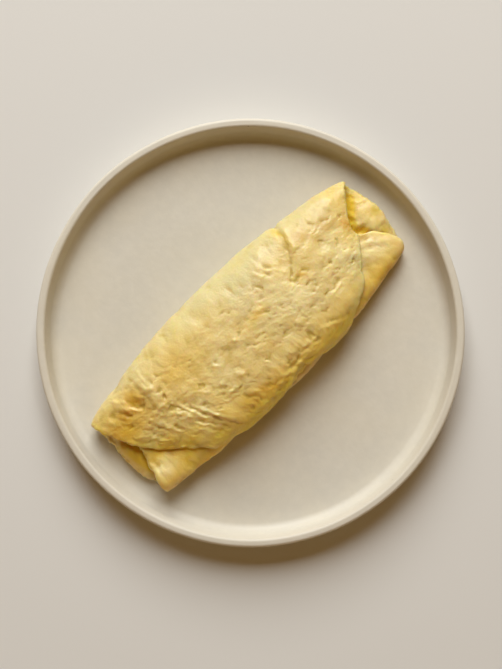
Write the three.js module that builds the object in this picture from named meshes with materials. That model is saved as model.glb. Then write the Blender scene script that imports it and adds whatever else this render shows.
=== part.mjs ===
// Folded omelette on its plate: a round egg sheet folded in three along its length, served on a
// low stoneware plate with an upright rim. Millimetres, +Z up. The origin is the centre of the
// plate's foot, on the surface the plate stands on. +X runs along the omelette, and +Y points to
// its closed side, where the sheet turns from the bottom layer over into the top flap.

import * as THREE from 'three';

// ---- Plate ----------------------------------------------------------------------------------
const PLATE_DIAMETER = 220;
const PLATE_HEIGHT = 18.5;
const WELL_LEVEL = 6; // height of the flat well above the table
const LIP_WIDTH = 4.5;
const LIP_ROUND = 2;
const WALL_DRAFT = 1.2; // how far the inner wall leans in on its way down
const WALL_LEAN = 12; // degrees from upright, inside and outside
const COVE_RADIUS = 5.2; // between the well and the inner wall
const FOOT_HEIGHT = 1.5;
const FOOT_INNER_RADIUS = 66;
const FOOT_OUTER_RADIUS = 71;
const FOOT_CHAMFER = 1.2;
const UNDERSIDE_RADIUS = 101; // where the underside turns up into the outer wall
const UNDERSIDE_RISE = 0.7;
const HEEL_RADIUS = 7; // rounding between the underside and the outer wall
const PLATE_SEGMENTS = 96;

// ---- Omelette -------------------------------------------------------------------------------
const REST_GAP = 0.3; // clearance between the omelette and the well
const SHEET_EDGE = 1.8; // thickness of the thin browned border of the sheet
const EDGE_TAPER = 14; // how fast the sheet thickens inward from its border
const LAYER_GAP = 0.45; // clearance between one layer and the next
const CROWN = 0.2; // how much the middle line stands above the sides, as a share of height
const CROWN_HALF_WIDTH = 34;
const TUCK_REACH = 16; // Y of the free edge of the flap that is folded in first
const ROUNDNESS = 2.15; // exponent of the closed long side's round; 2 is an ellipse
const FREE_SIDE_ROUNDNESS = 2.8; // the same for the other long side, which is squarer
const FOLD_DEPTH = 0.72; // horizontal depth of a rounded side, as a share of its height
const RIGHT_FOLD_SQUEEZE = 0.6; // thickness at the middle of a fold, as a share of the layers'
const LEFT_FOLD_SQUEEZE = 0.85;
const COVER_SHOULDER = 16; // width over which the top flap bends down its free side
const COVER_EDGE_LEVEL = 5; // height of the top flap's free edge above the well
const COVER_TAPER = 12; // how far in from its ends the top flap reaches its full height
const DROP_THINNING = 1.35; // how soon the top flap's free side is down to its edge thickness
const DROP_CURVE = 0.8;

// Sizes along the length, as [X, value] stations: half widths, then heights above the well
const LEFT_SIDE = [
  [-94, 24.6], [-90, 26], [-85, 27.8], [-80, 29], [-70, 29.8], [-60, 31.8], [-50, 32.9],
  [-39, 34.2], [0, 34.6], [30, 32.8], [42, 31.1], [50, 29.3], [60, 28], [70, 26.6], [80, 24.2],
  [88, 21.4], [94, 18],
];
const RIGHT_SIDE = [
  [-94, 24], [-88, 25.8], [-81, 27.8], [-70, 29.4], [-60, 30.9], [-50, 31.9], [-44, 31.6],
  [-38, 31.2], [-28, 31.9], [-20, 32.6], [30, 33], [50, 32.8], [64, 30.5], [80, 27.8], [86, 26],
  [94, 22],
];
const COVER_SIDE = [
  [-94, 33], [-46, 33.8], [-38, 34.1], [-30, 34.8], [-20, 35.2], [36, 36], [46, 35.4], [94, 33],
];
const TUCK_LEVEL = [
  [-94, 9], [-84, 11.2], [-68, 12.6], [-40, 14.2], [0, 15], [40, 14.2], [68, 12], [84, 8.8],
  [94, 6.4],
];
const COVER_LEVEL = [
  [-94, 11.2], [-84, 14.4], [-68, 17.8], [-40, 20.8], [0, 21.8], [40, 20.8], [68, 17],
  [84, 12.6], [94, 9],
];
// How far the top flap's ends stand off the layer below
const COVER_LIFT = [[-94, 0.3], [-50, 0.9], [10, 1.2], [94, 1.2]];

// End edges of each layer, as [Y, X] stations: the left end, then the right end
const BASE_END = {
  low: [[-26, -88], [-19, -88.8], [-13, -91], [0, -91.6], [10, -90.6], [25, -91]],
  high: [[-26, 86], [-21, 88.4], [-16, 89.5], [-8, 91.4], [-1.5, 92.4], [13, 90.3], [20.5, 89.2]],
};
const TUCK_END = {
  low: [[-26, -88], [-18, -86], [-6.5, -82.6], [6, -78], [16, -69]],
  high: [[-26, 86.4], [-23, 88], [-18, 86.6], [-13, 84], [-8, 80.5], [2, 73.5], [16, 62]],
};
const COVER_END = {
  low: [
    [-48, -28], [-36, -36], [-30, -44], [-25.6, -54.6], [-22.6, -56.2], [-18.6, -62], [-12.5, -70.6],
    [-8, -75], [-3, -79], [3, -82.4], [10, -86], [17, -88.8], [25, -90.8],
  ],
  high: [
    [-48, 26], [-36, 37], [-30.4, 42.4], [-25.4, 50], [-19.2, 60.6], [-15, 65], [-9, 70],
    [-4.6, 73.4], [0, 73.2], [5, 75.8], [9, 79], [16, 84.4], [21.5, 89.2],
  ],
};

// Broad swells and dents of the top face: [X, Y, height, radius along X, radius along Y]
const SWELLS = [
  [-57, 14, 1.6, 7, 9],
  [-66, 16, -1.5, 6, 7],
  [-73, 4, 0.5, 8, 7],
  [-79, 13, -0.8, 6, 5],
  [-38, -16, 0.9, 5, 14],
  [-47, -6, -0.6, 4.5, 13],
  [38, 15, -1, 6, 12],
  [50, 8, 0.4, 9, 10],
  [20, 16, 0.8, 12, 9],
  [8, -14, -0.7, 11, 8],
  [-18, 12, 0.6, 13, 9],
  [66, -8, 0.8, 9, 8],
];
const SWELL_FALL = 3; // how fast the swells die away down the sides

// The same for the flap that is folded in first, near its two ends
const TUCK_SWELLS = [
  [-85.5, -21, 2.2, 5.5, 7],
  [-78, -14, 0.8, 6, 5],
  [84, -21, 1.6, 6, 8],
];

// The same for the inside of the bottom layer, which swells up beyond the flap's two ends
const END_SWELLS = [
  [86.5, 2, 5, 12, 14],
  [-90, -4, 3.2, 6, 16],
  [-84, 0, 3.4, 7, 11],
];
const END_SWELLS_FROM = 70; // distance from the middle where these begin
const END_SWELLS_FULL = 78; // distance from the middle where they have their full height

// The sheet's path round the section: [name, number of spans, length in the middle section]
const DROP_LENGTH = 22;
const PATH = [
  ['tuck', 8, 42],
  ['rightFold', 6, 16],
  ['base', 6, 50],
  ['leftFold', 10, 30],
  ['cover', 20, 46],
  ['drop', 8, DROP_LENGTH],
];
const LENGTH_SPANS = 60;

// An end edge is given by Y, so its X is found by steps: a first guess, the steps, and their size
const END_GUESS = 85;
const END_STEPS = 12;
const END_STEP_SHARE = 0.7;
const TANGENT_STEP = 1e-3; // share of a part over which its direction is measured

// ---- Helpers --------------------------------------------------------------------------------

// A smooth curve through stations, level beyond the first and last one.
function through(stations) {
  const last = stations.length - 1;
  const slope = (i) => {
    const [x0, y0] = stations[Math.max(i - 1, 0)];
    const [x1, y1] = stations[Math.min(i + 1, last)];
    return (y1 - y0) / (x1 - x0);
  };
  return (x) => {
    if (x <= stations[0][0]) return stations[0][1];
    if (x >= stations[last][0]) return stations[last][1];
    const i = stations.findIndex((station) => station[0] > x) - 1;
    const [x0, y0] = stations[i];
    const [x1, y1] = stations[i + 1];
    const span = x1 - x0;
    const t = (x - x0) / span;
    const bend = t * t * (3 - 2 * t);
    return y0 + (y1 - y0) * bend + span * t * (1 - t) * ((1 - t) * slope(i) - t * slope(i + 1));
  };
}

const mix = (a, b, t) => a + (b - a) * t;

function arc(radius, height, size, from, to, steps) {
  return Array.from({ length: steps + 1 }, (_, i) => {
    const angle = THREE.MathUtils.degToRad(mix(from, to, i / steps));
    return new THREE.Vector2(radius + size * Math.cos(angle), height + size * Math.sin(angle));
  });
}

// ---- Plate ----------------------------------------------------------------------------------

function plateGeometry() {
  const outside = PLATE_DIAMETER / 2;
  const lipInside = outside - LIP_WIDTH;
  const wallFoot = lipInside - WALL_DRAFT;
  const heel = FOOT_HEIGHT + UNDERSIDE_RISE + HEEL_RADIUS;
  const profile = [
    new THREE.Vector2(0, FOOT_HEIGHT),
    new THREE.Vector2(FOOT_INNER_RADIUS - FOOT_CHAMFER, FOOT_HEIGHT),
    new THREE.Vector2(FOOT_INNER_RADIUS, 0),
    new THREE.Vector2(FOOT_OUTER_RADIUS, 0),
    new THREE.Vector2(FOOT_OUTER_RADIUS + FOOT_CHAMFER, FOOT_HEIGHT),
    ...arc(UNDERSIDE_RADIUS, heel, HEEL_RADIUS, -90, -WALL_LEAN, 4),
    ...arc(outside - LIP_ROUND, PLATE_HEIGHT - LIP_ROUND, LIP_ROUND, -WALL_LEAN, 90, 4),
    ...arc(lipInside + LIP_ROUND, PLATE_HEIGHT - LIP_ROUND, LIP_ROUND, 90, 180 - WALL_LEAN, 3),
    ...arc(wallFoot - COVE_RADIUS, WELL_LEVEL + COVE_RADIUS, COVE_RADIUS, -WALL_LEAN, -90, 5),
    new THREE.Vector2(0, WELL_LEVEL),
  ];
  return new THREE.LatheGeometry(profile, PLATE_SEGMENTS).rotateX(Math.PI / 2);
}

// ---- Omelette -------------------------------------------------------------------------------

const leftSide = through(LEFT_SIDE);
const rightSide = through(RIGHT_SIDE);
const coverSide = through(COVER_SIDE);
const tuckLevel = through(TUCK_LEVEL);
const coverLevel = through(COVER_LEVEL);
const coverLift = through(COVER_LIFT);
const baseEnds = { low: through(BASE_END.low), high: through(BASE_END.high) };
const tuckEnds = { low: through(TUCK_END.low), high: through(TUCK_END.high) };
const coverEnds = { low: through(COVER_END.low), high: through(COVER_END.high) };

// Setback and height on a rounded side; turn runs from 0 at its foot to 1 at its top.
function roundedSide(turn, depth, foot, top, roundness) {
  const angle = (turn - 0.5) * Math.PI;
  const power = 2 / roundness;
  const rise = Math.sign(angle) * Math.abs(Math.sin(angle)) ** power;
  return {
    back: depth * (1 - Math.cos(angle) ** power),
    z: (foot + top) / 2 + (rise * (top - foot)) / 2,
  };
}

// Level of the top flap's outer face, which thins out towards its ends.
function topOf(x, toEnd) {
  const edge = tuckLevel(x) + LAYER_GAP + SHEET_EDGE + coverLift(x);
  return mix(edge, coverLevel(x), 1 - Math.exp(-toEnd / COVER_TAPER));
}

// Outer face of the sheet in the section at x, before it is crowned; t runs from 0 to 1 in a part.
function section(part, t, x, toEnd) {
  const left = leftSide(x);
  const right = rightSide(x);
  const level = tuckLevel(x);
  const top = topOf(x, toEnd);
  const rightDepth = level * FOLD_DEPTH;
  const leftDepth = coverLevel(x) * FOLD_DEPTH;
  if (part === 'tuck') return { y: mix(TUCK_REACH, rightDepth - right, t), z: level };
  if (part === 'rightFold') {
    const side = roundedSide(1 - t, rightDepth, 0, level, FREE_SIDE_ROUNDNESS);
    return { y: side.back - right, z: side.z };
  }
  if (part === 'base') return { y: mix(rightDepth - right, left - leftDepth, t), z: 0 };
  if (part === 'leftFold') {
    const side = roundedSide(t, leftDepth, 0, top, ROUNDNESS);
    return { y: left - side.back, z: side.z };
  }
  const shoulder = COVER_SHOULDER - coverSide(x);
  if (part === 'cover') return { y: mix(left - leftDepth, shoulder, t), z: top };
  const foot = 2 * COVER_EDGE_LEVEL - top;
  const side = roundedSide(1 - t / 2, COVER_SHOULDER, foot, top, FREE_SIDE_ROUNDNESS);
  return { y: side.back - coverSide(x), z: side.z };
}

// Y of the sheet as it would lie if the top flap's free side were laid out flat.
function flatY(part, t, x) {
  if (part === 'drop') return section('cover', 1, x, 0).y - t * DROP_LENGTH;
  return section(part, t, x, 0).y;
}

// X of the sheet's end (low or high) on a line across the layers.
function endOf(part, t, end) {
  let x = end === 'low' ? -END_GUESS : END_GUESS;
  for (let step = 0; step < END_STEPS; step += 1) {
    const y = flatY(part, t, x);
    const aim = {
      tuck: () => tuckEnds[end](y),
      rightFold: () => mix(tuckEnds[end](y), baseEnds[end](y), t),
      base: () => baseEnds[end](y),
      leftFold: () => mix(baseEnds[end](y), coverEnds[end](y), t),
      cover: () => coverEnds[end](y),
      drop: () => coverEnds[end](y),
    }[part]();
    x = mix(x, aim, END_STEP_SHARE);
  }
  return x;
}

// Thickness the layers may take in the section at x without touching each other. The sheet is
// squeezed thinner where it turns.
function room(part, t, x, toEnd) {
  const level = tuckLevel(x);
  const lower = (level - LAYER_GAP) / 2;
  const upper = topOf(x, toEnd) - level - LAYER_GAP;
  const turning = Math.sin(Math.PI * t);
  if (part === 'rightFold') return lower * mix(1, RIGHT_FOLD_SQUEEZE, turning);
  if (part === 'leftFold') return mix(lower, upper, t) * mix(1, LEFT_FOLD_SQUEEZE, turning);
  if (part === 'cover') return upper;
  if (part === 'drop') return mix(upper, SHEET_EDGE, Math.min(1, t * DROP_THINNING) ** DROP_CURVE);
  return lower;
}

function thickness(part, t, x, toEnd, toEdge) {
  const full = room(part, t, x, toEnd);
  const inward = Math.min(toEnd, toEdge);
  return mix(Math.min(SHEET_EDGE, full), full, 1 - Math.exp(-inward / EDGE_TAPER));
}

function sumOf(swells, x, y) {
  return swells.reduce((sum, [cx, cy, height, rx, ry]) => {
    const away = ((x - cx) / rx) ** 2 + ((y - cy) / ry) ** 2;
    return sum + height * Math.exp(-away);
  }, 0);
}

// Crowns the section, adds the top face's swells where the point is high, and sets it on the well.
function place(x, y, z) {
  const crowned = z * (1 + CROWN * (1 - (y / CROWN_HALF_WIDTH) ** 2));
  const high = Math.max(0, z / coverLevel(x)) ** SWELL_FALL;
  return [x, y, WELL_LEVEL + REST_GAP + Math.max(0, crowned + high * sumOf(SWELLS, x, y))];
}

// What the outer face of the flap that is folded in first stands above the plain section.
function tuckRise(part, x, y, z) {
  if (part !== 'tuck' && part !== 'rightFold') return 0;
  return Math.max(0, z / tuckLevel(x)) ** SWELL_FALL * sumOf(TUCK_SWELLS, x, y);
}

// What the inner face of the bottom layer stands above the plain section.
function endRise(part, x, y) {
  if (part !== 'base') return 0;
  return THREE.MathUtils.smoothstep(Math.abs(x), END_SWELLS_FROM, END_SWELLS_FULL)
    * sumOf(END_SWELLS, x, y);
}

// The lines across the layers, one at each span's end, with their distance to the free edges.
function acrossLines() {
  const total = PATH.reduce((sum, [, , length]) => sum + length, 0);
  const lines = [];
  let before = 0;
  PATH.forEach(([part, spans, length], index) => {
    for (let i = index ? 1 : 0; i <= spans; i += 1) {
      const t = i / spans;
      const along = before + t * length;
      lines.push({
        part,
        t,
        low: endOf(part, t, 'low'),
        high: endOf(part, t, 'high'),
        toEdge: Math.min(along, total - along),
      });
    }
    before += length;
  });
  return lines;
}

// One point of the sheet: its outer face, and its inner face one thickness further in.
function sheetPoint(line, share) {
  const { part, t, low, high, toEdge } = line;
  const x = mix(low, high, share);
  const toEnd = Math.min(share, 1 - share) * (high - low);
  const here = section(part, t, x, toEnd);
  const after = section(part, Math.min(1, t + TANGENT_STEP), x, toEnd);
  const before = section(part, Math.max(0, t - TANGENT_STEP), x, toEnd);
  const dy = after.y - before.y;
  const dz = after.z - before.z;
  const run = Math.hypot(dy, dz);
  const deep = thickness(part, t, x, toEnd, toEdge);
  const outer = place(x, here.y, here.z);
  const inner = place(x, here.y - (deep * dz) / run, here.z + (deep * dy) / run);
  outer[2] += tuckRise(part, x, here.y, here.z);
  inner[2] += endRise(part, x, inner[1]);
  return { outer, inner };
}

// Both faces of the folded sheet, joined round its border. The inner face, which hardly shows,
// takes every second line.
function omeletteGeometry() {
  const positions = [];
  const faces = [];
  const grid = acrossLines().map((line) =>
    Array.from({ length: LENGTH_SPANS + 1 }, (_, i) => sheetPoint(line, i / LENGTH_SPANS)),
  );
  const add = (point) => positions.push(...point) / 3 - 1;
  const outer = grid.map((row) => row.map((point) => add(point.outer)));
  const inner = grid
    .filter((_, i) => i % 2 === 0)
    .map((row) => row.filter((_, i) => i % 2 === 0).map((point) => add(point.inner)));

  const skin = (rows, flip) => {
    for (let i = 0; i < rows.length - 1; i += 1) {
      for (let j = 0; j < rows[i].length - 1; j += 1) {
        const [a, b, c, d] = [rows[i][j], rows[i][j + 1], rows[i + 1][j + 1], rows[i + 1][j]];
        faces.push(...(flip ? [a, b, c, a, c, d] : [a, c, b, a, d, c]));
      }
    }
  };
  skin(outer, false);
  skin(inner, true);

  // Two spans of the outer border meet one span of the inner border.
  const hem = (outside, inside) => {
    for (let i = 0; i < inside.length - 1; i += 1) {
      const [a, b, c] = outside.slice(2 * i, 2 * i + 3);
      const [d, e] = inside.slice(i, i + 2);
      faces.push(a, b, d, b, e, d, b, c, e);
    }
  };
  const column = (rows, j) => rows.map((row) => row.at(j));
  hem(outer[0], inner[0]);
  hem(column(outer, -1), column(inner, -1));
  hem(outer.at(-1).toReversed(), inner.at(-1).toReversed());
  hem(column(outer, 0).toReversed(), column(inner, 0).toReversed());

  const geometry = new THREE.BufferGeometry();
  geometry.setAttribute('position', new THREE.Float32BufferAttribute(positions, 3));
  geometry.setIndex(faces);
  geometry.computeVertexNormals();
  return geometry;
}

// ---- Assembly -------------------------------------------------------------------------------

const glaze = new THREE.MeshStandardMaterial({ color: 0xd3cab4, roughness: 0.42, metalness: 0 });
const egg = new THREE.MeshStandardMaterial({ color: 0xe6c878, roughness: 0.45, metalness: 0 });

const plate = new THREE.Mesh(plateGeometry(), glaze);
plate.name = 'plate';

const omelette = new THREE.Mesh(omeletteGeometry(), egg);
omelette.name = 'omelette';

const group = new THREE.Group();
group.add(plate, omelette);

export default group;
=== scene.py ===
import math

import bpy
import numpy as np
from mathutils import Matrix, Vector


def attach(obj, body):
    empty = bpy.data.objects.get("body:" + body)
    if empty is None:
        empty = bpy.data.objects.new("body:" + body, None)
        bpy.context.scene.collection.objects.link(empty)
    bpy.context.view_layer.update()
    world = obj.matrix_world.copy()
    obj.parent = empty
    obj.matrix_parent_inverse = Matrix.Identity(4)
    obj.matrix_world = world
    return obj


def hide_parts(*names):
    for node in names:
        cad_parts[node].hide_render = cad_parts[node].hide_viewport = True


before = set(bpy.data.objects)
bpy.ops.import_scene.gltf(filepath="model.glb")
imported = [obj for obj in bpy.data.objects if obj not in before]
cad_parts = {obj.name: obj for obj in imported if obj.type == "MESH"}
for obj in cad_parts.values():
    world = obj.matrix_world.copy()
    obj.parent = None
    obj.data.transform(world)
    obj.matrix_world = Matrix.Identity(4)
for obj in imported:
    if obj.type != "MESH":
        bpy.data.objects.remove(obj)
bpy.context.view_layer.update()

# A folded omelette on a stoneware plate. Sizes are in millimetres in the CAD part's own frame:
# X along the omelette, +Y to its closed side, Z up from the table. MM turns them into metres.
# Lights, the floor and what the materials' nodes take are in metres.
MM = 0.001

# ---- Plate, as in the CAD source ----
PLATE_RADIUS = 110.0
PLATE_HEIGHT = 18.5
WELL_LEVEL = 6.0
LIP_WIDTH = 4.5
LIP_ROUND = 1.6
WALL_DRAFT = 1.2
WALL_LEAN = 12.0  # degrees from upright, inside and outside
COVE_RADIUS = 5.2
FOOT_HEIGHT = 1.5
FOOT_INNER = 66.0
FOOT_OUTER = 71.0
FOOT_ROUND = 1.2
FOOT_EDGE = 0.6  # rounding of the foot ring's two lower edges
FOOT_EDGE_INSET = 0.7
FOOT_FILLET = 0.5  # rounding where the foot ring meets the underside
FOOT_FILLET_IN = 0.2  # how far its middle is shifted towards the ring on the inner side
FOOT_FILLET_DOWN = 0.3  # how far its middle lies below the underside on the outer side
UNDERSIDE_RADIUS = 101.0
UNDERSIDE_RISE = 0.7
HEEL_RADIUS = 7.0
AXIS_RING = 1.5  # radius of the ring of points nearest to the axis
# How far the points of a level stretch keep from the roundings beside it
FOOT_INSIDE_GAP, FOOT_OUTSIDE_GAP, HEEL_GAP, COVE_GAP = 0.4, 5, 6, 4
PLATE_SEGMENTS = 256
GLAZE_START = (1.0, 2.0)  # height above the foot where the glaze starts, and over which it grows
GLAZE_WANDER = (38.0, 0.22)  # width and height of the plate's unevenness outwards
GLAZE_WAVES = (30.0, 0.14)  # the same upwards

# ---- Omelette, as in the CAD source ----
REST_GAP = 0.3
SHEET_EDGE = 1.8
EDGE_TAPER = 14.0
LAYER_GAP = 0.45
CROWN = 0.2
CROWN_HALF_WIDTH = 34.0
TUCK_REACH = 16.0
ROUNDNESS = 2.15
FREE_SIDE_ROUNDNESS = 3.2
RIGHT_FOLD_SQUEEZE = 0.6
LEFT_FOLD_SQUEEZE = 0.85
FOLD_DEPTH = 0.72
COVER_SHOULDER = 16.0
COVER_TAPER = 12.0  # how far in from its ends the top flap reaches its full height
DROP_THINNING = (1.35, 0.8)  # how early and how sharply the hanging part thins to its edge
FAR_INSIDE = 1000.0  # so far from the sheet's ends that they no longer matter

# At stations along X: how far the sides and the top flap's overhang lie from the middle line, and
# how high the layers lie above the base
LEFT_SIDE = [
    (-94, 24.6), (-90, 26), (-85, 27.8), (-80, 29), (-75, 29.4), (-70, 29.8), (-65, 30.8), (-60, 31.8),
    (-50, 32.9), (-39, 34.2), (0, 34.6), (30, 32.8), (42, 31.1), (45.4, 30.2), (47.2, 29), (50, 29.3),
    (55, 28.9), (60, 28), (70, 26.6), (80, 24.2), (88, 21.4), (94, 18),
]
RIGHT_SIDE = [
    (-94, 24), (-88, 25.8), (-81, 27.8), (-70, 29.4), (-60, 30.9), (-50, 31.9), (-44, 31.6), (-38, 31.2),
    (-28, 31.9), (-20, 32.6), (-12, 33.4), (-5, 34.7), (4, 35.4), (13, 35), (20, 34), (28, 33), (40, 33),
    (50, 32.8), (64, 30.5), (80, 27.8), (86, 26), (94, 22),
]
COVER_SIDE = [
    (-94, 33), (-46, 33.8), (-38, 34.1), (-30, 34.8), (-20, 35.2), (-13, 35), (-7, 33.8), (-1, 32.6),
    (5, 32.2), (11, 32.6), (17, 34), (23, 35.6), (36, 36), (46, 35.4), (94, 33),
]
TUCK_LEVEL = [
    (-94, 9), (-84, 11.2), (-68, 12.6), (-40, 14.2), (0, 15), (40, 14.2), (68, 12), (84, 8.8), (94, 6.4),
]
COVER_EDGE_LEVEL = [
    (-94, 5), (-20, 5), (-12, 9), (-7, 14), (5, 15.5), (13, 14.5), (19, 9.5), (26, 5), (94, 5),
]
COVER_LEVEL = [
    (-94, 11.2), (-84, 14.4), (-68, 17.8), (-40, 20.8), (0, 21.8), (40, 20.8), (68, 17), (84, 12.6),
    (94, 9),
]
# How much thicker than the sheet the top flap's border is, or thinner below 0
COVER_LIFT = [
    (-94, 0.1), (-84, -0.4), (-62, -0.4), (-52, 0.3), (-44, 0.9), (10, 1.2), (50, 1.2), (62, 0.8),
    (94, 0.6),
]
# X of each layer's two ends, at stations along Y
BASE_END = {
    "low": [(-26, -88), (-19, -88.8), (-13, -91), (0, -91.6), (10, -90.6), (25, -91)],
    "high": [
        (-26, 86), (-21, 88.4), (-16, 89.5), (-8, 91.4), (-1.5, 92.4), (5, 91.4), (13, 90.3),
        (20.5, 89.2),
    ],
}
TUCK_END = {
    "low": [(-26, -88), (-18, -86), (-10.5, -84.2), (-6.5, -82.6), (6, -78), (16, -69)],
    "high": [
        (-26, 86.4), (-23, 88), (-18, 86.6), (-13, 84), (-9, 81), (-7, 78.6), (-5.6, 75.4), (-3, 73.2),
        (2, 71.4), (16, 62),
    ],
}
COVER_END = {
    "low": [
        (-48, -28), (-36, -36), (-30, -44), (-27, -51.4), (-25.6, -54.6), (-22.6, -56.2), (-20.6, -57.8),
        (-18.6, -62), (-16, -66), (-12.5, -70.6), (-8, -75), (-3, -79), (3, -82.4), (10, -86),
        (17, -88.8), (25, -90.8),
    ],
    "high": [
        (-48, 26), (-36, 37), (-30.4, 42.4), (-27.6, 45.6), (-25.4, 50), (-22.6, 55.6), (-19.2, 60.6),
        (-15, 65), (-9, 70), (-4.6, 73.4), (0, 73.2), (5, 75.8), (9, 79), (16, 84.4), (21.5, 89.2),
    ],
}

# Broad swells and dents of the top face: X, Y, height, radius along X, radius along Y
SWELLS = [
    (-57, 14, 1.6, 7, 9), (-66, 16, -1.5, 6, 7), (-73, 4, 0.5, 8, 7), (-79, 13, -0.8, 6, 5),
    (-38, -16, 0.9, 5, 14), (-47, -6, -0.6, 4.5, 13), (38, 15, -1, 6, 12), (50, 8, 0.4, 9, 10),
    (20, 16, 0.8, 12, 9), (8, -14, -0.7, 11, 8), (-18, 12, 0.6, 13, 9), (66, -8, 0.8, 9, 8),
]
SWELL_FOCUS = 3  # how fast they fade below the top face
# The same on the flap below, where it shows at both ends
TUCK_SWELLS = [
    (-85.5, -21, 2, 5.5, 7), (-79.5, -18.6, 1.1, 6, 5.4), (-79, -6, 0.3, 4, 3), (-66, -18, 0.3, 5, 2.6),
    (-60, -22.6, 0.7, 4, 2.6), (84, -21, 1.3, 6, 8), (79, -13, 0.5, 5, 5),
]

# The sheet's path round the section: part, spans, length in the middle section, and how many
# spans of the outer face one span of the inner face takes
TUCK, RIGHT_FOLD, BASE, LEFT_FOLD, COVER, DROP = range(6)
DROP_LENGTH = 22.0
PATH = [
    (TUCK, 36, 42.0, 4),
    (RIGHT_FOLD, 18, 16.0, 3),
    (BASE, 32, 50.0, 1),
    (LEFT_FOLD, 44, 30.0, 4),
    (COVER, 92, 46.0, 4),
    (DROP, 40, DROP_LENGTH, 4),
]
LENGTH_SPANS = 300
FINE_ENDS = 36  # spans at each end that the inner face takes one by one
MIDDLE_STRIDE = 6
END_CROWDING = 0.2  # how much closer the spans lie at the sheet's ends than in the middle
END_GUESS = 85.0  # X from which the sheet's end on a line is sought
END_STEPS = 12
END_DAMPING = 0.7
SLOPE_STEP = 1e-3  # share of a part over which its slope is taken

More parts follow.
